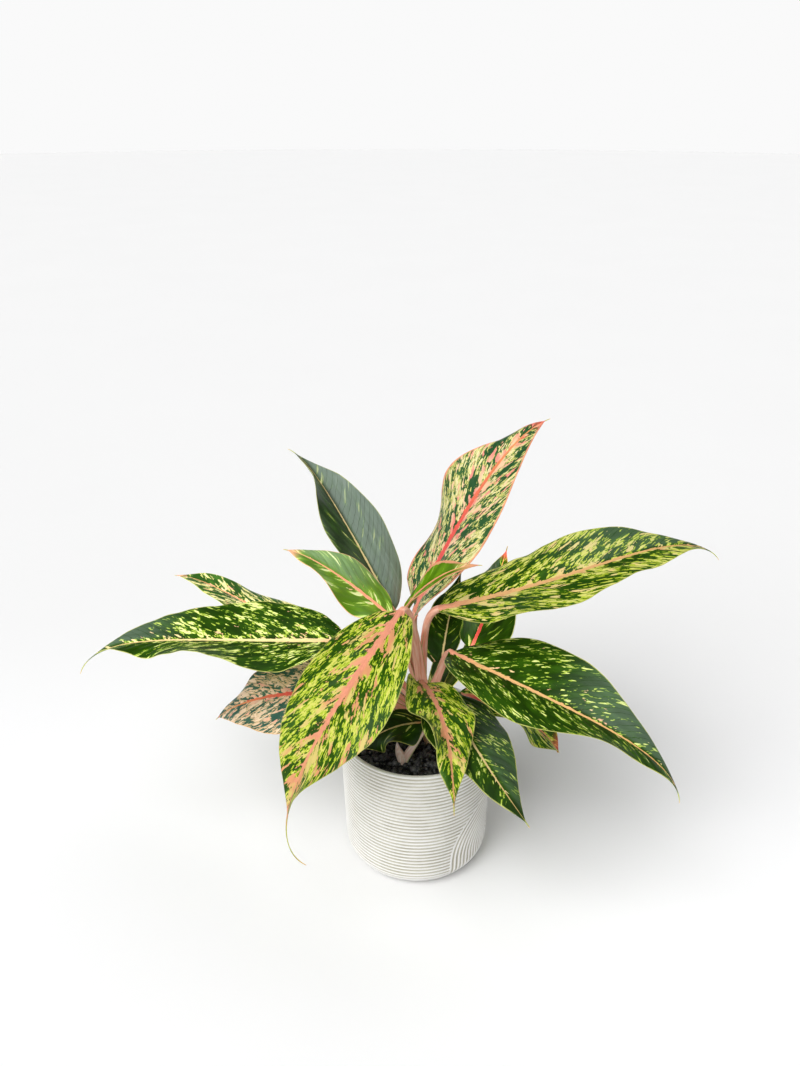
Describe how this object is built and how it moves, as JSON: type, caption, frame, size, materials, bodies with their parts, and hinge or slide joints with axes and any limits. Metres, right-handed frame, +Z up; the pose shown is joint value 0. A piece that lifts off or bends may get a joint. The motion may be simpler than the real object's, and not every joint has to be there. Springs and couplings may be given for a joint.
{
  "type": "potted chinese evergreen",
  "caption": "Variegated chinese evergreen with long arching leaves, in a round ribbed pot filled with dark soil.",
  "frame": {"origin": "centre of the flat face under the pot, on the surface that the pot stands on", "axes": "+Z up along the pot's axis, -Y towards the front of the plant, +X to the right seen from the front"},
  "size_m": [0.5176, 0.3252, 0.3639],
  "materials": {
    "pot": "cream white satin glaze with beige in the grooves",
    "soil": "dark granular potting soil",
    "stem": "pale pink stem",
    "leaf_dark": "dark green leaf with yellow flecks and a satin sheen",
    "leaf_yellow": "yellow and green speckled leaf with a satin sheen",
    "leaf_pink": "pink and cream leaf with green speckles",
    "leaf_young": "light green young leaf with a pink midrib"
  },
  "bodies": {
    "root": {"pot": "pot", "soil": "soil", "cane": "stem", "shoot": "leaf_dark", "leaf_front_left": "leaf_yellow", "leaf_left": "leaf_dark", "leaf_back_left": "leaf_yellow", "leaf_low_left": "leaf_pink", "leaf_young_left": "leaf_young", "leaf_tall_left": "leaf_dark", "leaf_tall_right": "leaf_pink", "leaf_rolled": "leaf_young", "leaf_right": "leaf_yellow", "leaf_low_right": "leaf_dark", "leaf_back_upright": "leaf_dark", "leaf_back_dark": "leaf_dark", "leaf_front": "leaf_yellow", "leaf_front_right": "leaf_dark", "leaf_under_right": "leaf_yellow"}
  },
  "joints": []
}
